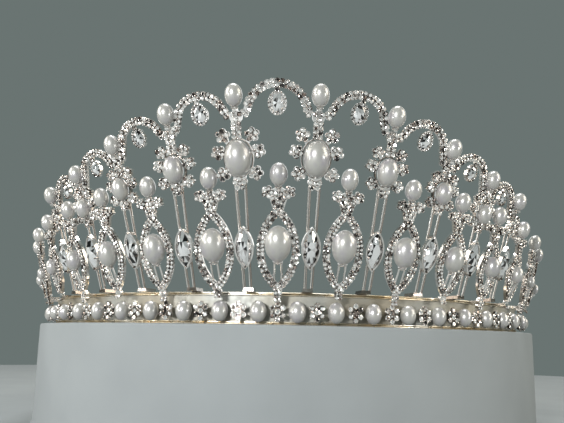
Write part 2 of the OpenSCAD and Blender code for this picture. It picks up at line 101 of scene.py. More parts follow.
# Strands: the strip, the stones and their two rows, as shares of the strand's width
STRIP_SHARE = 0.72
STONE_SHARE = 0.235
ROW_SHARE = 0.25
STONE_PITCH = 2.12
STONE_TILT = 11

# Arches
ARCH_W = 2.2
ARCH_PLATE = (-0.5, 0.2)
ARCH_RISE = 0.82
END_ARCH_RISE = 0.6
ARCH_STONE_Z = 0.66
END_ARCH = 5
DROP = (3.5, 4.8)

# Painted light on the facets, from 0 for painted shade and dark reflection to 1 for painted highlight
PAINTED_LIGHT_SEED = 7
PLATE_PAINTED_LIGHT = 0.66
PAINTED_LIGHT_SPREAD = 0.2
DIM_PAINTED_LIGHT = 0.47

# Stage and camera
STAND_R = PEARL_RING_R + 2.6
LIGHTS_AIM = (0, 0.03, 0.03)
FLOOR_R = 420.0
FLOOR_Z = -30.0
CAMERA_PLACE = (5.8, -160.7, -3.0)
CAMERA_PAN, CAMERA_PITCH, CAMERA_ROLL = -1.9, 10.75, 1.18
FOCAL_PX = 667.6
PICTURE_W_PX = 564
SENSOR_W = 36.0


def side_names(count, *middle):
    """Names from the wearer's right to the left, numbered from the middle outward."""
    numbers = range(1, count + 1)
    return [f"r{n}" for n in reversed(numbers)] + list(middle) + [f"l{n}" for n in numbers]


LOOP_NAMES = side_names(7, "c")
STEM_NAMES = side_names(5)
ARCH_NAMES = side_names(END_ARCH, "c")
LOOPS = [n * MOTIF_STEP for n in range(-7, 8)]
STEMS = [(n + 0.5) * MOTIF_STEP for n in range(-5, 5)]
BAND_PEARLS = [n - 11.5 for n in range(24)]
BAND_ROSETTES = [n - 12 for n in range(25)]

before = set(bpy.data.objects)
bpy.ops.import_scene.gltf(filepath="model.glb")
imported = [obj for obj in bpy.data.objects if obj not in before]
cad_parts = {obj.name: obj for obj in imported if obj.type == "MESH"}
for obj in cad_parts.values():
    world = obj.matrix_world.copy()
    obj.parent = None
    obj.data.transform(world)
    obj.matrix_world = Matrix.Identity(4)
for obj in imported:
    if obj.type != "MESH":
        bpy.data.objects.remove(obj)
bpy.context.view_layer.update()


# ---- How the motifs change along the band, as in the CAD ----


def side_share(i):
    """How far along the taper a motif is: 0 in the middle, 1 at the side."""
    return min(abs(i), TAPER_SPAN) / TAPER_SPAN


def lean(i):
    return FRONT_LEAN - LEAN_LOSS * side_share(i)


def is_stem(i):
    """Loops stand on whole motif steps, and stems half way between them."""
    return abs(i / MOTIF_STEP - round(i / MOTIF_STEP)) > 0.25


def splay(i):
    """How many degrees a motif fans out. Each stem also has a bend of its own."""
    reach = math.copysign(min(abs(i), FAN_SPAN), i)
    if is_stem(i):
        return STEM_SPLAY * reach + STEM_BENDS[STEMS.index(i)]
    return LOOP_SPLAY * reach


def height_taper(i):
    return 1 - 0.27 * side_share(i) ** 1.3 - 0.04 * max(abs(i) - TAPER_SPAN, 0)


def size_taper(i):
    return 1 - 0.6 * side_share(i) ** 1.4


def strand_taper(i):
    return 1 - 0.12 * side_share(i)


def flower_taper(i):
    return 1.13 - 0.185 * abs(i) + 0.0165 * i * i


def tip_taper(i):
    return 1 - 0.15 * side_share(i)


def band_taper(i):
    return 1 - 0.2 * side_share(i)


def crest_at(i):
    return 41.3 + 9.4 * math.cos(math.radians(24 * i))


def flower_at(i):
    return 30.4 + 5.9 * math.cos(math.radians(24 * i))


def eye_bottom(i):
    return EYE_Y * height_taper(i) - EYE_PEARL[1] * size_taper(i) / 2


def tip_bottom(i):
    return TIP_Y * height_taper(i) - TIP_PEARL[1] * tip_taper(i) / 2


def crest_bottom(i):
    return crest_at(i) - TIP_PEARL[1] * tip_taper(i) / 2


def hub_at(i):
    return crest_bottom(i) - HUB_DROP


def lobe_size(i):
    return LOBE_R * math.sqrt(flower_taper(i))


def lobe_at(i, x, y):
    """Where a lobe stands, from the middle of its flower.

    The lobes shrink less than their flower does, so they also move out by what they keep.
    """
    kept = lobe_size(i) - LOBE_R * flower_taper(i)
    share = flower_taper(i) + kept / math.hypot(x, y)
    return x * share, y * share


def has_flower(i):
    return abs(i) < 4 * MOTIF_STEP


# ---- Matrices ----


def move(x, y, z=0.0):
    m = np.eye(4)
    m[:3, 3] = (x, y, z)
    return m


def turn(axis, degrees):
    c, s = math.cos(math.radians(degrees)), math.sin(math.radians(degrees))
    a, b = {"x": (1, 2), "y": (2, 0), "z": (0, 1)}[axis]
    m = np.eye(4)
    m[a, a] = m[b, b] = c
    m[a, b], m[b, a] = -s, s
    return m


def scale(x, y, z):
    return np.diag([x, y, z, 1.0])


def on_band(i):
    """The frame of a place on the pearl row: X along the band, Y up and Z outward."""
    head_middle = move(0, RAIL_MID_R, PEARL_Z)
    return head_middle @ turn("z", i * PITCH) @ move(0, -PEARL_RING_R) @ turn("x", 90)


def on_motif(i):
    """The frame of a motif: its place on the band, leaned back and fanned out."""
    return on_band(i) @ turn("x", lean(i)) @ turn("z", -splay(i))


def unit(v):
    return v / np.linalg.norm(v)


# ---- Small meshes that are copied many times: (points, faces) ----


def revolve(profile, count):
    """A closed solid of revolution about Z, from (radius, height) points from pole to pole."""
    points, faces, rings = [], [], []
    for r, z in profile:
        if r < 1e-9:
            rings.append([len(points)])
            points.append((0, 0, z))
        else:
            rings.append(range(len(points), len(points) + count))
            for k in range(count):
                a = 2 * math.pi * k / count
                points.append((r * math.cos(a), r * math.sin(a), z))
    for low, high in zip(rings, rings[1:]):
        for k in range(count):
            n = (k + 1) % count
            if len(low) == 1:
                faces.append((low[0], high[n], high[k]))
            elif len(high) == 1:
                faces.append((low[k], low[n], high[0]))
            else:
                faces.append((low[k], low[n], high[n], high[k]))
    return np.array(points, float), faces


def prism(outline, low, high):
    """A flat outline with thickness along Z."""
    n = len(outline)
    points = [(x, y, low) for x, y in outline] + [(x, y, high) for x, y in outline]
    faces = [tuple(range(n))[::-1], tuple(range(n, 2 * n))]
    faces += [(k, (k + 1) % n, n + (k + 1) % n, n + k) for k in range(n)]
    return np.array(points, float), faces


def ring_prism(outer, inner, low, high):
    """A flat ring between two outlines with the same number of points, with thickness along Z."""
    n = len(outer)
    points = [(x, y, z) for z in (low, high) for line in (outer, inner) for x, y in line]
    faces = []
    for k in range(n):
        m = (k + 1) % n
        faces.append((k, n + k, n + m, m))
        faces.append((2 * n + k, 2 * n + m, 3 * n + m, 3 * n + k))
        faces.append((k, m, 2 * n + m, 2 * n + k))
        faces.append((n + k, 3 * n + k, 3 * n + m, n + m))
    return np.array(points, float), faces


def tube(path, radius, count=10):
    """A round wire along a path of points, with closed ends."""
    path = np.array(path, float)
    points, faces = [], []
    for k, p in enumerate(path):
        ahead = path[min(k + 1, len(path) - 1)] - path[max(k - 1, 0)]
        along = unit(ahead)
        side = unit(np.cross(along, (0.3, 0.1, 1.0)))
        up = np.cross(side, along)
        for j in range(count):
            a = 2 * math.pi * j / count
            points.append(p + radius * (math.cos(a) * side + math.sin(a) * up))
    for k in range(len(path) - 1):
        for j in range(count):
            m = (j + 1) % count
            a, b = k * count, (k + 1) * count
            faces.append((a + j, b + j, b + m, a + m))
    faces.append(tuple(range(count)))
    faces.append(tuple(range((len(path) - 1) * count, len(path) * count))[::-1])
    return np.array(points, float), faces


def oval(w, h, count=32):
    angles = [2 * math.pi * k / count for k in range(count)]
    return [(w / 2 * math.cos(a), h / 2 * math.sin(a)) for a in angles]


def lens(half_l, half_w, count=12):
    """The outline of a pointed oval that stands along Y."""
    r = (half_l**2 + half_w**2) / (2 * half_w)
    centre = r - half_w
    tip = math.acos(centre / r)
    right = [(r * math.cos(a) - centre, r * math.sin(a)) for a in np.linspace(-tip, tip, count + 1)]
    left = [(-x, -y) for x, y in right]
    return right[:-1] + left[:-1]


def cut_stone(table_share=0.56, crown=0.34, girdle=0.06, pavilion=0.55, sides=8):
    """A brilliant of radius 1: a table, triangular crown facets, a thin girdle and a point below."""
    points = [(0, 0, -pavilion)]
    for z in (0, girdle):
        for k in range(2 * sides):
            a = math.pi * k / sides
            points.append((math.cos(a), math.sin(a), z))
    for k in range(sides):
        a = 2 * math.pi * k / sides
        points.append((table_share * math.cos(a), table_share * math.sin(a), crown))
    rim = 1 + 2 * sides
    table = 1 + 4 * sides
    faces = [tuple(range(table, table + sides))]
    for k in range(2 * sides):
        n = (k + 1) % (2 * sides)
        faces.append((0, 1 + n, 1 + k))
        faces.append((1 + k, 1 + n, rim + n, rim + k))
    for k in range(sides):
        n = (k + 1) % sides
        before, after = rim + (2 * k - 1) % (2 * sides), rim + (2 * k + 1) % (2 * sides)
        faces.append((table + k, before, rim + 2 * k))
        faces.append((table + k, rim + 2 * k, after))
        faces.append((table + k, after, table + n))
    return np.array(points, float), faces


def outline_stone(outline, table_share, crown, girdle, pavilion):
    """A stone on any outline with an even number of points, with mixed triangular crown facets."""
    n = len(outline)
    outline = np.array(outline, float)
    under_line = outline * 0.55
    mid_line = outline * (1 + table_share) / 2
    table_line = outline * table_share
    mid_share = 0.62
    points = [(0, 0, -pavilion)]
    points += [(x, y, -mid_share * pavilion) for x, y in under_line]
    points += [(x, y, 0) for x, y in outline]
    points += [(x, y, girdle) for x, y in outline]
    points += [(x, y, girdle + mid_share * crown) for x, y in mid_line[::2]]
    points += [(x, y, girdle + crown) for x, y in table_line[1::2]]
    half, culet, low, rim = n // 2, 1, 1 + n, 1 + 2 * n
    mid, table = 1 + 3 * n, 1 + 3 * n + n // 2
    points.append((0, 0, girdle + 1.1 * crown))
    peak = len(points) - 1
    faces = [(table + k, table + (k + 1) % half, peak) for k in range(half)]
    for k in range(n):
        m = (k + 1) % n
        faces.append((0, culet + m, culet + k))
        faces.append((culet + k, culet + m, low + m, low + k))
        faces.append((low + k, low + m, rim + m, rim + k))
    for k in range(half):
        even, odd, last = rim + 2 * k, rim + 2 * k + 1, rim + (2 * k - 1) % n
        faces.append((even, odd, mid + k))
        faces.append((last, even, mid + k))
        faces.append((odd, table + k, mid + k))
        faces.append((last, mid + k, table + (k - 1) % half))
        faces.append((mid + k, table + k, table + (k - 1) % half))
    return np.array(points, float), faces


def stone_cup(claws=4):
    """The cup of a stone of radius 1: a tapered body, a raised rim and claws over the edge."""
    outside = [(0, -1.15), (0.55, -1.15), (0.86, -0.75), (1.07, 0.0), (1.07, 0.14)]
    inside = [(0.98, 0.14), (0.9, -0.1), (0, -0.1)]
    parts = [revolve(outside + inside, 14)]
    points, faces = revolve([(0, -0.5), (0.17, -0.5), (0.19, 0.2), (0.15, 0.38), (0, 0.45)], 6)
    for k in range(claws):
        placed = turn("z", 45 + 360 / claws * k) @ move(1.0, 0) @ turn("y", -14)
        parts.append((points @ placed[:3, :3].T + placed[:3, 3], faces))
    return joined(parts)


def joined(parts):
    """One mesh of several."""
    points, faces, count = [], [], 0
    for p, f in parts:
        points.append(p)
        faces += [tuple(i + count for i in face) for face in f]
        count += len(p)
    return np.concatenate(points), faces


def unit_pearl(across, along):
    """A pearl of radius 1 with a drill hole up from its low pole, before it is stretched."""
    hole_r = PEG_HOLE_R / (across / 2)
    hole_top = PEG_HOLE_DEPTH / (along / 2) - 1
    start = math.asin(hole_r)
    chamfer = 0.03
    profile = [(0, hole_top), (hole_r, hole_top), (hole_r, -math.cos(start) + chamfer)]
    for a in np.linspace(start + chamfer, math.pi, 30):
        profile.append((math.sin(a), -math.cos(a)))
    profile[-1] = (0, 1)
    return revolve(profile, 48)


class Piece:
    """Collects copies of small meshes, in millimetres, and makes one object of them."""

    def __init__(self, name):
        self.name = name
        self.points = []
        self.faces = []
        self.copy_of = []
        self.painted_lights = []
        self.copies = 0
        self.count = 0

    def add(self, template, matrix, painted_light=None):
        """Adds a copy, with facets painted near the given level of light or, if there is none, painted
        at many levels, as painted reflections and shade.
        """
        points, faces = template
        self.points.append(points @ matrix[:3, :3].T + matrix[:3, 3])
        mirrored = np.linalg.det(matrix[:3, :3]) < 0
        for face in faces:
            face = face[::-1] if mirrored else face
            self.faces.append(tuple(k + self.count for k in face))
            self.copy_of.append(self.copies)
            self.painted_lights.append(painted_light)
        self.copies += 1
        self.count += len(points)

    def add_plain(self, template, matrix, painted_light=PLATE_PAINTED_LIGHT):
        """Adds a copy with facets painted at nearly one level of light, as on a flat plate or a wire.
        """
        self.add(template, matrix, painted_light)

    def make(self, material, slot, *nodes, smooth=None, copy_share=0.55):
        """Makes the object. A facet's painted light is partly its copy's, by copy_share, and partly
        its own.
        """
        mesh = bpy.data.meshes.new(self.name)
        mesh.from_pydata((np.concatenate(self.points) * MM).tolist(), [], self.faces)
        mesh.validate()
        random = np.random.default_rng(PAINTED_LIGHT_SEED)
        of_copy = random.random(self.copies)[self.copy_of]
        of_facet = random.random(len(self.faces))
        mixed = copy_share * of_copy + (1 - copy_share) * of_facet
        given = np.array([-1 if painted_light is None else painted_light for painted_light in self.painted_lights])
        painted_lights = np.where(given < 0, mixed, given + PAINTED_LIGHT_SPREAD * (of_facet - 0.5))
        attribute = mesh.attributes.new("facet_painted_light", "FLOAT", "FACE")
        attribute.data.foreach_set("value", painted_lights.astype(np.float32))
        if smooth:
            mesh.shade_smooth()
            mesh.set_sharp_from_angle(angle=math.radians(smooth))
        mesh.materials.append(material)
        made = bpy.data.objects.new(self.name, mesh)
        bpy.context.scene.collection.objects.link(made)
        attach(made, BODY)
        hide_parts(*nodes)


STONE = cut_stone()
CUP = stone_cup()


# ---- Materials ----


def new_material(name):
    material = bpy.data.materials.new(name)
    material.use_nodes = True
    return material, material.node_tree, material.node_tree.nodes["Principled BSDF"]


def link(tree, source, output, target, socket):
    tree.links.new(source.outputs[output], target.inputs[socket])


def noise(tree, size, detail):
    node = tree.nodes.new("ShaderNodeTexNoise")
    node.inputs["Scale"].default_value = 1 / size
    node.inputs["Detail"].default_value = detail
    link(tree, tree.nodes.new("ShaderNodeTexCoord"), "Object", node, "Vector")
    return node


def ramp(tree, source, output, stops):
    node = tree.nodes.new("ShaderNodeValToRGB")
    elements = node.color_ramp.elements
    while len(elements) < len(stops):
        elements.new(0.5)
    for element, (place, colour) in zip(elements, stops):
        element.position = place
        element.color = (*colour, 1)
    link(tree, source, output, node, "Fac")
    return node


def remap(tree, source, output, low, high):
    node = tree.nodes.new("ShaderNodeMapRange")
    node.inputs["From Min"].default_value = 0.3
    node.inputs["From Max"].default_value = 0.7
    node.inputs["To Min"].default_value = low
    node.inputs["To Max"].default_value = high
    link(tree, source, output, node, "Value")
    return node


def bump(tree, source, output, strength, distance, shader):
    node = tree.nodes.new("ShaderNodeBump")
    node.inputs["Strength"].default_value = strength
    node.inputs["Distance"].default_value = distance
    link(tree, source, output, node, "Height")
    link(tree, node, "Normal", shader, "Normal")


def wide_patches(tree):
    """Slow changes of colour along a polished surface."""
    return noise(tree, 0.015, 2.0), "Fac"


def painted_facet_light(tree):
    """A number of its own for each facet that paints a reflection into its colour, as if each one
    mirrored a different part of a room.
    """
    node = tree.nodes.new("ShaderNodeAttribute")
    node.attribute_name = "facet_painted_light"
    return node, "Fac"


def plated_metal(name, patches_and_painted_light, stops, rough_range, wave, wave_height):
    """Bright plating coloured from a given source, real patches of colour on the band and strip,
    painted shade and reflections facet by facet on the settings; with uneven polish and a soft ripple
    left by casting.
    """
    material, tree, shader = new_material(name)
    shader.inputs["Metallic"].default_value = 1.0
    shader.inputs["Specular IOR Level"].default_value = 0.5
    colour = ramp(tree, *patches_and_painted_light(tree), stops)
    link(tree, colour, "Color", shader, "Base Color")
    polish = noise(tree, 0.0015, 4.0)
    rough = remap(tree, polish, "Fac", *rough_range)
    link(tree, rough, "Result", shader, "Roughness")
    ripple = noise(tree, wave, 2.0)
    bump(tree, ripple, "Fac", 0.5, wave_height, shader)
    return material


def nacre(name):
    """Faux pearl: layered cream and grey-lilac clouds under a clear, faintly dimpled coat."""
    material, tree, shader = new_material(name)
    clouds = noise(tree, 0.0035, 3.0)
    colour = ramp(tree, clouds, "Fac", [
        (0.3, (0.345, 0.33, 0.345)),
        (0.5, (0.40, 0.395, 0.365)),
        (0.72, (0.36, 0.345, 0.36)),
    ])
    link(tree, colour, "Color", shader, "Base Color")
    shader.inputs["Metallic"].default_value = 0.3
    shader.inputs["Coat Weight"].default_value = 1.0
    shader.inputs["Coat Roughness"].default_value = 0.2
    shader.inputs["Coat IOR"].default_value = 1.9
    shader.inputs["Sheen Weight"].default_value = 0.1
    shader.inputs["Sheen Roughness"].default_value = 0.4
    film = noise(tree, 0.0008, 4.0)
    rough = remap(tree, film, "Fac", 0.28, 0.4)
    link(tree, rough, "Result", shader, "Roughness")
    dimples = noise(tree, 0.0011, 2.0)
    bump(tree, dimples, "Fac", 0.3, 0.00005, shader)
    return material


def crystal(name, stops):
    """Foil-backed cut glass under a clear coat: each facet's colour is a painted reflection, from near
    black to white.
    """
    material, tree, shader = new_material(name)
    colour = ramp(tree, *painted_facet_light(tree), stops)
    link(tree, colour, "Color", shader, "Base Color")
    shader.inputs["Metallic"].default_value = 0.8
    shader.inputs["IOR"].default_value = 1.6
    shader.inputs["Coat Weight"].default_value = 1.0
    shader.inputs["Coat Roughness"].default_value = 0.01
    shader.inputs["Coat IOR"].default_value = 1.6
    wear = noise(tree, 0.0004, 3.0)
    rough = remap(tree, wear, "Fac", 0.02, 0.12)
    link(tree, rough, "Result", shader, "Roughness")
    return material


BAND_METAL = plated_metal("band_metal", wide_patches, [
    (0.35, (0.78, 0.75, 0.68)),
    (0.65, (0.66, 0.55, 0.37)),
], (0.24, 0.38), 0.004, 0.00002)
STRIP_METAL = plated_metal("strip_metal", wide_patches, [
    (0.35, (0.375, 0.38, 0.355)),
    (0.65, (0.365, 0.335, 0.27)),
], (0.55, 0.7), 0.004, 0.00003)
# Painted light on the settings: near black facets are painted shade, mid and near white ones painted
# reflections.
SETTING_METAL = plated_metal("setting_metal", painted_facet_light, [
    (0.34, (0.05, 0.04, 0.033)),
    (0.48, (0.46, 0.39, 0.34)),
    (0.66, (0.94, 0.91, 0.88)),
], (0.12, 0.26), 0.0006, 0.00003)
NACRE = nacre("pearl_nacre")
# Painted reflections on the small stones' facets, from near black to near white.
SMALL_CRYSTAL = crystal("small_crystal", [
    (0.27, (0.01, 0.008, 0.007)),
    (0.34, (0.28, 0.19, 0.15)),
    (0.39, (0.90, 0.80, 0.74)),
    (0.46, (1.0, 0.98, 0.95)),
])
# Painted reflections on the large crystals' facets, from near black to white.
LARGE_CRYSTAL = crystal("large_crystal", [
    (0.20, (0.01, 0.01, 0.01)),
    (0.28, (0.30, 0.28, 0.27)),
    (0.34, (0.88, 0.87, 0.87)),
    (0.44, (1.0, 1.0, 1.0)),
])


# ---- Rows of stones ----


def uneven_tilt(x, y):
    """Degrees about X and Y by which the stone at a place leans, so that no two mirror alike."""
    return STONE_TILT * math.sin(12.9 * x + 7.3 * y), STONE_TILT * math.sin(5.1 * x - 9.7 * y)


class Stones:
    """Round stones in cups: each stone goes to one piece and its cup to another."""

    def __init__(self, stones, metal):
        self.stones = stones
        self.metal = metal
        self.taken = []

    def set_at(self, base, x, y, z, r, angle=0.0, gap=0.9):
        """Sets a stone unless it would stand on one already set in this group."""
        for tx, ty, tr in self.taken:
            if math.hypot(x - tx, y - ty) < gap * (r + tr):
                return
        self.taken.append((x, y, r))
        tilt_x, tilt_y = uneven_tilt(x, y)
        place = base @ move(x, y, z) @ turn("z", angle)
        self.metal.add(CUP, place @ scale(r, r, r))
        self.stones.add(STONE, place @ turn("x", tilt_x) @ turn("y", tilt_y) @ scale(r, r, r))

    def set_along(self, base, path, z, r, offsets, gap=0.9):
        """Rows of stones beside a path of points, one row for each offset."""
        path = np.array(path, float)
        steps = np.linalg.norm(np.diff(path, axis=0), axis=1)
        run = np.concatenate([[0], np.cumsum(steps)])
        count = max(2, round(run[-1] / (STONE_PITCH * r)))
        for place in (np.arange(count) + 0.5) / count * run[-1]:
            x = np.interp(place, run, path[:, 0])
            y = np.interp(place, run, path[:, 1])
            k = min(np.searchsorted(run, place), len(steps)) - 1
            along = (path[k + 1] - path[k]) / steps[k]
            angle = math.degrees(math.atan2(along[1], along[0]))
            for offset in offsets:
                self.set_at(base, x - offset * along[1], y + offset * along[0], z, r, angle, gap)


def ribbon(path, width, low, high):
    """A flat strip of metal along a path, under a row of cups."""
    path = np.array(path, float)
    ahead = np.gradient(path, axis=0)
    ahead /= np.linalg.norm(ahead, axis=1)[:, None]
    side = np.stack([-ahead[:, 1], ahead[:, 0]], axis=1) * width / 2
    left, right = path + side, path - side
    points, faces = [], []
    for a, b in zip(left, right):
        points += [(*a, low), (*b, low), (*b, high), (*a, high)]
    for k in range(len(path) - 1):
        for j in range(4):
            m = (j + 1) % 4
            faces.append((4 * k + j, 4 * k + m, 4 * k + 4 + m, 4 * k + 4 + j))
    faces.append((3, 2, 1, 0))
    last = 4 * (len(path) - 1)
    faces.append((last, last + 1, last + 2, last + 3))
    return np.array(points, float), faces


def disc(r, low, high, count=16):
    return prism(oval(2 * r, 2 * r, count), low, high)


def add_strand(group, base, path, strand, plate, stone_z):
    """A flat strip along a path, with two rows of stones on it."""
    group.metal.add_plain(ribbon(path, STRIP_SHARE * strand, *plate), base)
    rows = (-ROW_SHARE * strand, ROW_SHARE * strand)
    group.set_along(base, path, stone_z, STONE_SHARE * strand, rows)


def set_lobe(group, base, x, y, r, angle, plate, stone_z, first=0):
    """A round cluster: five stones round a small one. The first, towards angle, may be left out."""
    group.metal.add_plain(disc(0.7 * r, *plate, 12), base @ move(x, y))
    group.set_at(base, x, y, stone_z, 0.27 * r, gap=0.5)
    for k in range(first, 5):
        a = math.radians(angle + 72 * k)
        px, py = x + 0.64 * r * math.cos(a), y + 0.64 * r * math.sin(a)
        group.metal.add_plain(disc(0.42 * r, *plate, 10), base @ move(px, py))
        group.set_at(base, px, py, stone_z, 0.36 * r, angle + 72 * k, gap=0.5)


def fill_with_stones(group, base, z, r, low, high, half_low, half_high):
    """Rows of stones across a shape that widens from half_low at low to half_high at high."""
    rows = max(1, round((high - low) / (1.9 * r)))
    for row in range(rows):
        share = (row + 0.5) / rows
        half = half_low + (half_high - half_low) * share - r
        count = max(1, round(half / (1.05 * r)) + 1)
        for k in range(count):
            x = half * (2 * k / (count - 1) - 1) if count > 1 else 0
            group.set_at(base, x, low + (high - low) * share, z, r)


def pearl_cup(piece, base, y, z, r):
    """A dish and a peg that carry a pearl standing on them. Its rim is just under y."""
    under = [(0, -0.5), (0.45 * r, -0.5), (0.8 * r, -0.32), (r, 0.05)]
    over = [(0.93 * r, 0.08), (0.6 * r, -0.12), (0.35, -0.16)]
    peg = [(0.35, 1.3), (0, 1.3)]
    dish = revolve(under + over + peg, 20)
    piece.add_plain(dish, base @ move(0, y - 0.05, z) @ turn("x", -90))


# ---- Pearls ----


def pearl_group(name, node, places, size, hole):
    """One piece holding a row of pearls. Places are (matrix, share of full size)."""
    piece = Piece(name)
    for k, (matrix, share) in enumerate(places):
        w, h = size[0] * share, size[1] * share
        slight = 1 - 0.012 * (k * 7 % 3)
        if hole == "below":
            shape = unit_pearl(w, h)
            stand = turn("x", -90) @ scale(slight * w / 2, w / 2, h / 2)
        else:
            shape = unit_pearl(w, w)
            stand = scale(slight * w / 2, h / 2, w / 2)
        piece.add(shape, matrix @ stand)
    piece.make(NACRE, "pearl", node, smooth=60)


def make_pearls():
    band = [(on_band(i), band_taper(i)) for i in BAND_PEARLS]
    eyes = [(on_motif(i) @ move(0, EYE_Y * height_taper(i), EYE_PEARL_Z), size_taper(i))
            for i in LOOPS]
    tips = [(on_motif(i) @ move(0, TIP_Y * height_taper(i)), tip_taper(i)) for i in LOOPS]
    flowers = [(on_motif(i) @ move(0, flower_at(i), STEM_PEARL_Z), flower_taper(i))
               for i in STEMS if has_flower(i)]
    crest = [(on_motif(i) @ move(0, crest_at(i), STEM_PEARL_Z), tip_taper(i)) for i in STEMS]
    pearl_group("band_pearl_row", "band_pearls", band, BAND_PEARL, "behind")
    pearl_group("eye_pearl_row", "eye_pearls", eyes, EYE_PEARL, "below")
    pearl_group("tip_pearl_row", "tip_pearls", tips, TIP_PEARL, "below")
    pearl_group("flower_pearl_row", "flower_pearls", flowers, FLOWER_PEARL, "below")
    pearl_group("crest_pearl_row", "crest_pearls", crest, TIP_PEARL, "below")


# ---- Band ----


def rail_section():
    """The outline of a rail, out and up from its middle: rounded, with a groove along its front."""
    half_d, half_h = RAIL_DEPTH / 2, RAIL_H / 2
    groove_depth, groove_h = RAIL_GROOVE
    section = [(half_d, -groove_h / 2), (half_d - groove_depth, 0), (half_d, groove_h / 2)]
    for x, y, start in ((1, 1, 0), (-1, 1, 90), (-1, -1, 180), (1, -1, 270)):
        for a in (0, 30, 60, 90):
            c = math.radians(start + a)
            section.append((x * (half_d - RAIL_CORNER_R) + RAIL_CORNER_R * math.cos(c),
                            y * (half_h - RAIL_CORNER_R) + RAIL_CORNER_R * math.sin(c)))
    return section


def make_rail(name, node, low):
    """A rail that follows the band, like two wires soldered together. Its underside is at low."""
    section = rail_section()
    stations = np.radians(np.linspace(-BAND_HALF_ANGLE, BAND_HALF_ANGLE, 145) - 90)
    points, faces, n = [], [], len(section)
    for a in stations:
        for out, up in section:
            r = RAIL_MID_R + out
            points.append((r * math.cos(a), RAIL_MID_R + r * math.sin(a), low + RAIL_H / 2 + up))
    for k in range(len(stations) - 1):
        for j in range(n):
            m = (j + 1) % n
            faces.append((k * n + j, (k + 1) * n + j, (k + 1) * n + m, k * n + m))
    faces.append(tuple(range(n)))
    faces.append(tuple(range((len(stations) - 1) * n, len(stations) * n))[::-1])
    piece = Piece(name)
    piece.add((np.array(points), faces), np.eye(4))
    piece.make(BAND_METAL, "band_metal", node, smooth=40)


def set_rosette(group, base, z):
    """Six stones round one, like a small flower."""
    group.taken = []
    group.set_at(base, 0, 0, z, 0.66)
    for k in range(6):
        a = math.radians(60 * k + 30)
        group.set_at(base, 1.4 * math.cos(a), 1.7 * math.sin(a), z, 0.62, 60 * k + 30, gap=0.5)


def domed_star(count):
    """The back plate of a rosette: a star that rises to its middle."""
    outline = []
    for k in range(count):
        a = 2 * math.pi * k / count
        outline.append(((1.15 + 0.5 * (k % 2)) * math.cos(a), (1.3 + 0.6 * (k % 2)) * math.sin(a)))
    points, faces = prism(outline, -0.6, -0.4)
    back, rim = faces[0], faces[2:]
    peak = len(points)
    front = [(count + k, count + (k + 1) % count, peak) for k in range(count)]
    return np.vstack([points, (0, 0, 0.1)]), [back] + rim + front


def make_band_rosettes():
    metal, stones = Piece("rosette_cups"), Piece("rosette_stones")
    group = Stones(stones, metal)
    star = domed_star(12)
    post = disc(0.8, STRIP_OUT_R - PEARL_RING_R, -0.2)
    for i in BAND_ROSETTES:
        base = on_band(i)
        # The back star is painted at the dimmer level of painted light.
        metal.add_plain(star, base, DIM_PAINTED_LIGHT)
        metal.add_plain(post, base)
        set_rosette(group, base, 0.42)
    metal.make(SETTING_METAL, "setting_metal", "band_rosettes", smooth=35)
    stones.make(SMALL_CRYSTAL, "small_crystal", "band_stones")


# ---- Loops ----


def loop_strand(i, side):
    """The middle line of one side of a loop's pointed oval, from the foot to the crossing."""
    strand = STRAND_W * strand_taper(i)
    half_l = (LOOP_TOP_Y * height_taper(i) - LOOP_BOTTOM_Y) / 2
    half_w = EYE_PEARL[0] * size_taper(i) / 2 + strand + 0.03
    r = (half_l**2 + half_w**2) / (2 * half_w)
    centre = r - half_w
    mid_r = r - strand / 2
    end = math.acos(min(1.0, centre / mid_r))
    mid_y = LOOP_BOTTOM_Y + half_l
    angles = np.linspace(-end, end, 41)
    return [(side * (mid_r * math.cos(a) - centre), mid_y + mid_r * math.sin(a)) for a in angles]


def make_loop(i, name, stones):
    strand = STRAND_W * strand_taper(i)
    stone_r = STONE_SHARE * strand
    base = on_motif(i)
    metal = Piece("loop_setting_" + name)
    group = Stones(stones, metal)
    for side in (-1, 1):
        add_strand(group, base, loop_strand(i, side), strand, LOOP_PLATE, LOOP_STONE_Z)
    make_loop_foot(i, group, base, stone_r)
    make_loop_head(i, group, base, stone_r)
    make_prongs(i, metal, base, LOOP_BOTTOM_Y + strand)
    pearl_cup(metal, base, tip_bottom(i), 0, 0.95)
    make_bracket(i, metal)
    metal.make(SETTING_METAL, "setting_metal", "loop_" + name, smooth=35)


def make_loop_foot(i, group, base, stone_r):
    """The filled foot. Over a rosette it reaches down between two band pearls."""
    group.metal.add_plain(disc(1.0, *LOOP_PLATE), base @ move(0, LOOP_BOTTOM_Y))
    foot_low = 3.3
    over_rosette = abs(i - round(i)) < 0.25
    if over_rosette:
        group.metal.add_plain(disc(0.8, *LOOP_PLATE), base @ move(0, foot_low))
        foot_low = 2.4
    fill_with_stones(group, base, LOOP_STONE_Z, stone_r, foot_low, FOOT_TOP_Y,
                     FOOT_HALF_W, FOOT_HALF_W)


def make_loop_head(i, group, base, stone_r):
    """The filled head over the crossing, with a lobe to each side and the neck of the tip pearl."""
    ht = height_taper(i)
    head_low = LOOP_TOP_Y * ht - 1.2
    lobe_x = SIDE_LOBE_X * ht
    lobe_y = tip_bottom(i) - 1.4 * ht
    neck_high = tip_bottom(i) - 0.3
    right = [(1.2 * ht, head_low), (lobe_x, lobe_y), (0.8 * ht, lobe_y + ht), (0.8 * ht, neck_high)]
    left = [(-x, y) for x, y in right[::-1]]
    group.metal.add_plain(prism(right + left, *LOOP_PLATE), base)
    for side in (-1, 1):
        set_lobe(group, base, side * lobe_x, lobe_y, SIDE_LOBE_R * ht, 90 + side * 90,
                 LOOP_PLATE, LOOP_STONE_Z)
    fill_with_stones(group, base, LOOP_STONE_Z, stone_r, head_low + 0.5, neck_high - 0.1,
                     1.2 * ht, 2.5 * ht)


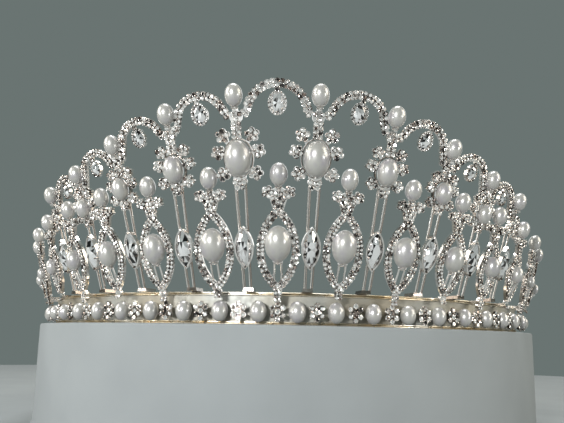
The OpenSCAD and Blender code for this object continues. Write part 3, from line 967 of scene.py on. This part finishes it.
def make_prongs(i, metal, base, start_y):
    """Two wires from the foot of a loop forward to its eye pearl, and the pearl's cup on them."""
    end_y = eye_bottom(i)
    prong_x = PRONG_X * size_taper(i)
    for side in (-1, 1):
        x = side * prong_x
        start = (x, start_y, 0)
        middle = (x, (start_y + end_y) / 2, EYE_PEARL_Z / 2 + 0.1)
        end = (x, end_y - PRONG_R, EYE_PEARL_Z)
        metal.add_plain(tube([start, middle, end], PRONG_R), base)
    pearl_cup(metal, base, end_y, EYE_PEARL_Z, prong_x + 0.35)


def make_bracket(i, metal):
    """A short bar from the front of the upper rail out to the leaning loop."""
    half_w = 0.75
    start = RAIL_MID_R + RAIL_DEPTH / 2
    end = PEARL_RING_R + LOOP_BOTTOM_Y * math.tan(math.radians(lean(i))) + 0.2
    top = RAIL_H - 0.2
    bar = prism([(-half_w, 0), (half_w, 0), (half_w, top), (-half_w, top)], 0, end - start)
    place = move(0, BAND_H - RAIL_H - PEARL_Z + 0.1, start - PEARL_RING_R)
    metal.add_plain(bar, on_band(i) @ place)


def make_loops():
    stones = Piece("loop_stones")
    for i, name in zip(LOOPS, LOOP_NAMES):
        make_loop(i, name, stones)
    stones.make(SMALL_CRYSTAL, "small_crystal", "loop_pave")


# ---- Stems ----


def stem_heights(i):
    """Where the wires of a stem end and its neck begins, under and over its flower or rosette."""
    middle = flower_at(i)
    if has_flower(i):
        half_h = FLOWER_PEARL[1] * flower_taper(i) / 2
        return middle - half_h - 0.3, middle + half_h + 0.1 + FLOWER_RIM
    rosette_top = middle + 1.7
    return rosette_top - 1, rosette_top


def make_stem(i, name, flower_stones, navettes):
    strand = strand_taper(i)
    wire_top, neck_low = stem_heights(i)
    base = on_motif(i)
    metal = Piece("stem_setting_" + name)
    group = Stones(flower_stones, metal)
    make_stem_wires(metal, base, strand, wire_top)
    make_bezel(metal, base @ move(0, NAVETTE_Y, -1), strand)
    make_navette(navettes, base @ move(0, NAVETTE_Y, -1), strand)
    if has_flower(i):
        make_flower(i, group, base)
        make_flower_perch(metal, base, strand, wire_top)
    else:
        metal.add_plain(disc(1.2, STEM_BACK, -0.7), base @ move(0, flower_at(i)))
        set_rosette(group, base @ move(0, flower_at(i)), -0.3)
    make_stem_top(i, group, base, strand, neck_low)
    make_stem_foot(i, metal)
    metal.make(SETTING_METAL, "setting_metal", "stem_" + name, smooth=35)


def make_stem_wires(metal, base, strand, wire_top):
    """Two legs that spread upward, each a wire painted bright beside one painted darker, a painted
    highlight line beside a painted dark reflection line.
    """
    for side in (-1, 1):
        for offset, painted_light in ((-0.2, PLATE_PAINTED_LIGHT), (0.2, DIM_PAINTED_LIGHT)):
            low = (side * 0.75 + offset, 5.0, BACK_Z)
            high = (side * 1.15 * strand + offset, wire_top, BACK_Z)
            metal.add_plain(tube([low, high], 0.17, 12), base, painted_light)


def make_bezel(metal, base, strand):
    """A thin wall and floor round a pointed crystal, with claws at its points and sides."""
    half_l, half_w = NAVETTE[1] * strand / 2, NAVETTE[0] * strand / 2
    outer, inner = lens(half_l + 0.6, half_w + 0.36), lens(half_l, half_w)
    metal.add_plain(ring_prism(outer, inner, 0, 1.15), base)
    metal.add_plain(prism(lens(half_l + 0.4, half_w + 0.2), 0, 0.35), base)
    claw = revolve([(0, -0.3), (0.24, -0.3), (0.24, 1.35), (0.17, 1.6), (0, 1.68)], 8)
    for side in (-1, 1):
        metal.add(claw, base @ move(0, side * (half_l + 0.15)) @ turn("x", side * 8))
        for y in (-0.36, 0.36):
            x = half_w * (1 - (y * 2) ** 2 * 0.55)
            metal.add(claw, base @ move(side * (x + 0.12), y * half_l) @ turn("y", -side * 8))


def make_navette(stones, base, strand):
    outline = lens(NAVETTE[1] * strand / 2 - 0.05, NAVETTE[0] * strand / 2 - 0.05, count=8)
    stones.add(outline_stone(outline, 0.5, 0.95 * strand, 0.1, 0.6), base @ move(0, 0, 1.0))


def make_flower(i, group, base):
    """The thin ring round a flower pearl and its seven lobes of stones."""
    size = flower_taper(i)
    w, h = FLOWER_PEARL[0] * size, FLOWER_PEARL[1] * size
    middle = base @ move(0, flower_at(i))
    inner = oval(w + RING_GAP, h + RING_GAP)
    outer = oval(w + RING_GAP + 2 * FLOWER_RIM, h + RING_GAP + 2 * FLOWER_RIM)
    # The ring round the pearl is painted at the dimmer level of painted light.
    group.metal.add_plain(ring_prism(outer, inner, STEM_BACK, -0.8), middle, DIM_PAINTED_LIGHT)
    for place in LOBE_PLACES:
        x, y = lobe_at(i, *place)
        to_ring = math.hypot(x / (w / 2 + 0.4), y / (h / 2 + 0.4))
        arm = ribbon([(x / to_ring, y / to_ring), (x, y)], 0.9 * size, -1.6, -0.85)
        group.metal.add_plain(arm, middle)
        inward = math.degrees(math.atan2(y, x)) + 180
        over_post = 1 if x == 0 else 0
        set_lobe(group, middle, x, y, lobe_size(i), inward,
                 (STEM_BACK, -0.9), LOBE_STONE_Z, over_post)


def make_flower_perch(metal, base, strand, wire_top):
    """The peg and post under a flower pearl, and the bar that joins them to the wires."""
    peg = tube([(0, wire_top, STEM_PEARL_Z), (0, wire_top + 1.8, STEM_PEARL_Z)], 0.34)
    bar_y = wire_top + 0.1
    metal.add_plain(peg, base)
    metal.add_plain(pearl_post(bar_y), base)
    metal.add_plain(ribbon([(-1.5 * strand, bar_y), (1.5 * strand, bar_y)], 0.7, -1.6, -0.8), base)


def pearl_post(top):
    """A square post from the plate of a stem out to the middle plane of its pearls."""
    half_w, h = 0.48, 0.58
    outline = [(-half_w, top - h), (half_w, top - h), (half_w, top), (-half_w, top)]
    return prism(outline, -1.6, STEM_PEARL_Z + 0.45)


def make_stem_top(i, group, base, strand, neck_low):
    """The neck and the hub with their stones, and the crest pearl's post and cup."""
    tip = tip_taper(i)
    hub = hub_at(i)
    neck = STEM_NECK_W * strand
    stone_r = 0.21 * neck
    rows = (-0.26 * neck, 0.26 * neck)
    post_top = crest_bottom(i) - 0.25
    group.taken = []
    neck_plate = ribbon([(0, neck_low - 0.3), (0, hub)], STRIP_SHARE * neck, STEM_BACK, -0.9)
    group.metal.add_plain(neck_plate, base)
    group.set_along(base, [(0, neck_low - 0.2), (0, hub - 1)], STEM_STONE_Z, stone_r, rows)
    group.metal.add_plain(disc(HUB_R * tip, STEM_BACK, -0.8), base @ move(0, hub))
    fill_with_stones(group, base, STEM_STONE_Z, stone_r, hub - 1.2, hub + 1.2,
                     0.55 * neck, HUB_R * tip)
    group.metal.add_plain(ribbon([(0, hub), (0, post_top)], 1.0, STEM_BACK, -0.8), base)
    group.metal.add_plain(pearl_post(post_top), base)
    pearl_cup(group.metal, base, crest_bottom(i), STEM_PEARL_Z, 0.9)


def make_stem_foot(i, metal):
    """A block on the upper rail in which the wires stand."""
    back = RAIL_MID_R - RAIL_DEPTH / 2 - PEARL_RING_R
    foot = prism([(-1.3, 0), (1.3, 0), (1.15, 0.8), (-1.15, 0.8)], back, 0.9)
    # The foot block is painted at the dimmer level of painted light.
    metal.add_plain(foot, on_band(i) @ move(0, BAND_H - PEARL_Z), DIM_PAINTED_LIGHT)


def make_stems():
    flower_stones, navettes = Piece("flower_stone_set"), Piece("navette_set")
    for i, name in zip(STEMS, STEM_NAMES):
        make_stem(i, name, flower_stones, navettes)
    flower_stones.make(SMALL_CRYSTAL, "small_crystal", "flower_stones")
    navettes.make(LARGE_CRYSTAL, "large_crystal", "navette_crystals", copy_share=0.1)


# ---- Arches ----


def motif_point(i, y, z):
    """A point on the middle line of a motif."""
    return (on_motif(i) @ np.array([0, y, z, 1.0]))[:3]


def arch_end(i, side):
    """Where an arch meets the hub of a stem or, past the last stem, the neck of a loop."""
    if abs(i) > STEMS[-1]:
        last = side * END_ARCH * MOTIF_STEP
        return motif_point(last, 28.8 * height_taper(last), BACK_Z - 0.7)
    return motif_point(i, hub_at(i), BACK_Z)


def arch_frame(n):
    """The frame of an arch at the middle of its chord, with X along the chord; and half its span."""
    start, end = (arch_end((n + side * 0.5) * MOTIF_STEP, side) for side in (-1, 1))
    across = unit(end - start)
    up = on_motif(n * MOTIF_STEP)[:3, 1]
    up = unit(up - (up @ across) * across)
    frame_of = np.eye(4)
    frame_of[:3] = np.column_stack([across, up, np.cross(across, up), (start + end) / 2])
    return frame_of, np.linalg.norm(end - start) / 2


def scallop_path(half, top):
    """A round top whose feet curl outward to the hubs."""
    bend = 2 * math.atan(top / half)
    total_r = half / math.sin(bend)
    top_r = 0.72 * total_r
    curl_r = total_r - top_r
    down, up = -math.pi / 2, math.pi / 2
    path = [(-half + curl_r * math.cos(a), curl_r + curl_r * math.sin(a))
            for a in np.linspace(down, down + bend, 12)]
    path += [(top_r * math.cos(a), top - top_r + top_r * math.sin(a))
             for a in np.linspace(up + bend, up - bend, 31)[1:-1]]
    path += [(half + curl_r * math.cos(a), curl_r + curl_r * math.sin(a))
             for a in np.linspace(down - bend, down, 12)]
    return path


def clear_of_crest(base, n, path, strand):
    """The part of an arch's path that stays clear of the crest pearls and the hubs at its feet."""
    to_arch = np.linalg.inv(base)
    kept = path
    for i in ((n - 0.5) * MOTIF_STEP, (n + 0.5) * MOTIF_STEP):
        if abs(i) > STEMS[-1]:
            continue
        pearl = (to_arch @ np.append(motif_point(i, crest_at(i), STEM_PEARL_Z), 1))[:2]
        hub = (to_arch @ np.append(motif_point(i, hub_at(i), BACK_Z), 1))[:2]
        reach = [size * tip_taper(i) / 2 + strand / 2 + 0.05 for size in TIP_PEARL]
        hub_reach = HUB_R * tip_taper(i) - 0.1
        kept = [(x, y) for x, y in kept
                if math.hypot((x - pearl[0]) / reach[0], (y - pearl[1]) / reach[1]) >= 1
                and math.hypot(x - hub[0], y - hub[1]) >= hub_reach]
    return kept


def make_arch(n, name, stones, drops):
    base, half = arch_frame(n)
    is_end = abs(n) == END_ARCH
    top = half * (END_ARCH_RISE if is_end else ARCH_RISE)
    strand = ARCH_W * strand_taper(n * MOTIF_STEP)
    metal = Piece("arch_setting_" + name)
    group = Stones(stones, metal)
    path = clear_of_crest(base, n, scallop_path(half, top), strand)
    add_strand(group, base, path, strand, ARCH_PLATE, ARCH_STONE_Z)
    if not is_end:
        size = 1 - 0.45 * side_share(n * MOTIF_STEP)
        make_drop(base, top - strand / 2, size, group, drops)
    metal.make(SETTING_METAL, "setting_metal", "arch_" + name, smooth=35)


def make_drop(base, link_top, size, group, drops):
    """An oval crystal with a link, a rim of beads and a floor, under an arch."""
    w, h = DROP[0] * size, DROP[1] * size
    drop_y = link_top - 3.4 * size
    middle = base @ move(0, drop_y)
    metal = group.metal
    metal.add_plain(ring_prism(oval(w + 0.8, h + 0.8), oval(w, h), -0.5, 0.35), middle)
    metal.add_plain(prism(oval(w + 0.4, h + 0.4), -0.5, -0.15), middle)
    metal.add_plain(ribbon([(0, drop_y + h / 2), (0, link_top + 0.3)], 0.6, -0.45, 0.15), base)
    group.set_at(base, 0, link_top - 0.45 * size, 0.4, 0.62 * size, gap=0.4)
    bead = revolve([(0, -0.2), (0.2, -0.2), (0.22, 0.12), (0.14, 0.3), (0, 0.34)], 8)
    for x, y in oval(w + 0.5, h + 0.5, 18):
        metal.add(bead, middle @ move(x, y, 0.3))
    crystal_outline = oval(w - 0.1, h - 0.1, 16)
    drops.add(outline_stone(crystal_outline, 0.52, 0.8 * size, 0.08, 0.4), middle @ move(0, 0, 0.28))


def make_arches():
    stones, drops = Piece("arch_stones"), Piece("drop_set")
    for n, name in zip(range(-END_ARCH, END_ARCH + 1), ARCH_NAMES):
        make_arch(n, name, stones, drops)
    stones.make(SMALL_CRYSTAL, "small_crystal", "arch_pave")
    drops.make(LARGE_CRYSTAL, "large_crystal", "drop_crystals", copy_share=0.1)


# ---- Stage, lights and camera ----


def plain_finish(name, pale, dark):
    """A matt, faintly mottled surface."""
    material, tree, shader = new_material(name)
    mottle = noise(tree, 0.02, 4.0)
    colour = ramp(tree, mottle, "Fac", [(0.3, dark), (0.7, pale)])
    link(tree, colour, "Color", shader, "Base Color")
    shader.inputs["Roughness"].default_value = 0.8
    shader.inputs["Specular IOR Level"].default_value = 0.1
    return material


def turned(name, profile, material):
    """A turned shape that stands under the middle of the band."""
    points, faces = revolve(profile, 160)
    mesh = bpy.data.meshes.new(name)
    mesh.from_pydata(((points + (0, RAIL_MID_R, 0)) * MM).tolist(), [], faces)
    mesh.shade_smooth()
    mesh.set_sharp_from_angle(angle=math.radians(40))
    mesh.materials.append(material)
    made = bpy.data.objects.new(name, mesh)
    bpy.context.scene.collection.objects.link(made)
    return made


def make_stage():
    """A round pale floor with a low round stand on it, just larger than the band."""
    foot_r = STAND_R + 0.6
    stand_foot = [(0, FLOOR_Z), (foot_r, FLOOR_Z), (foot_r, FLOOR_Z + 0.4), (STAND_R, FLOOR_Z + 1)]
    stand_edge = [(STAND_R, -0.5), (STAND_R - 0.15, -0.15), (STAND_R - 0.5, 0), (0, 0)]
    floor_low, floor_top = FLOOR_Z - 5, FLOOR_Z - 0.05
    floor_profile = [(0, floor_low), (FLOOR_R, floor_low), (FLOOR_R, floor_top), (0, floor_top)]
    stand_finish = plain_finish("stand_finish", (0.255, 0.276, 0.282), (0.232, 0.251, 0.257))
    floor_finish = plain_finish("floor_finish", (0.30, 0.322, 0.328), (0.28, 0.30, 0.306))
    stand = turned("stand", stand_foot + stand_edge, stand_finish)
    floor = turned("floor", floor_profile, floor_finish)


def looking(place, right, up, forward):
    """The matrix of a camera or light at a place, in metres."""
    m = np.eye(4)
    m[:3] = np.column_stack([right, up, -forward, place])
    return Matrix(m.tolist())


def add_light(name, place, size, power, colour=(1, 1, 1)):
    """A rectangular lamp, in metres and watts, aimed at the middle of the tiara."""
    data = bpy.data.lights.new(name, "AREA")
    data.shape = "RECTANGLE"
    data.size, data.size_y = size
    data.energy = power
    data.color = colour
    lamp = bpy.data.objects.new(name, data)
    bpy.context.scene.collection.objects.link(lamp)
    forward = unit(np.array(LIGHTS_AIM, float) - np.array(place, float))
    right = unit(np.cross(forward, (0, 0, 1)))
    lamp.matrix_world = looking(place, right, np.cross(right, forward), forward)


def make_lights():
    world = bpy.data.worlds.new("studio")
    bpy.context.scene.world = world
    world.use_nodes = True
    background = world.node_tree.nodes["Background"]
    background.inputs["Color"].default_value = (0.205, 0.25, 0.24, 1)
    background.inputs["Strength"].default_value = 0.7
    add_light("key", (-0.20, -0.50, 0.11), (0.09, 0.08), 3.1)
    add_light("spark_left", (-0.52, -0.26, 0.02), (0.03, 0.03), 0.5)
    add_light("spark_right", (0.50, -0.28, 0.01), (0.03, 0.03), 0.5)
    add_light("side_left", (-0.6, -0.05, 0.3), (0.4, 0.4), 2.4, (1.0, 0.95, 0.87))
    add_light("side_right", (0.6, -0.05, 0.3), (0.4, 0.4), 2.4, (1.0, 0.93, 0.80))
    add_light("top", (0, 0.1, 0.7), (0.4, 0.2), 2.8)
    add_light("back", (0.1, 0.75, 0.35), (0.9, 0.4), 1.3)


def make_camera():
    pan, pitch, roll = map(math.radians, (CAMERA_PAN, CAMERA_PITCH, CAMERA_ROLL))
    level = np.array([math.sin(pan), math.cos(pan), 0])
    forward = level * math.cos(pitch) + np.array([0, 0, math.sin(pitch)])
    right = np.array([math.cos(pan), -math.sin(pan), 0])
    up = np.cross(right, forward)
    rolled_right = right * math.cos(roll) + up * math.sin(roll)
    rolled_up = up * math.cos(roll) - right * math.sin(roll)
    data = bpy.data.cameras.new("camera")
    data.sensor_width = SENSOR_W
    data.lens = FOCAL_PX * SENSOR_W / PICTURE_W_PX
    data.clip_start, data.clip_end = 0.01, 20
    camera = bpy.data.objects.new("camera", data)
    bpy.context.scene.collection.objects.link(camera)
    camera.matrix_world = looking(np.array(CAMERA_PLACE) * MM, rolled_right, rolled_up, forward)
    bpy.context.scene.camera = camera


def finish_cad_nodes():
    """The carried-over nodes keep their shape and take the band's plating."""
    plating = {"band_strip": STRIP_METAL, "pin_eyelet_r": BAND_METAL, "pin_eyelet_l": BAND_METAL}
    for name, metal in plating.items():
        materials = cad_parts[name].data.materials
        materials.clear()
        materials.append(metal)


make_pearls()
make_rail("upper_rail_bar", "upper_rail", BAND_H - RAIL_H)
make_rail("lower_rail_bar", "lower_rail", 0)
make_band_rosettes()
make_loops()
make_stems()
make_arches()
finish_cad_nodes()
make_stage()
make_lights()
make_camera()

bpy.context.scene.view_settings.view_transform = "Standard"
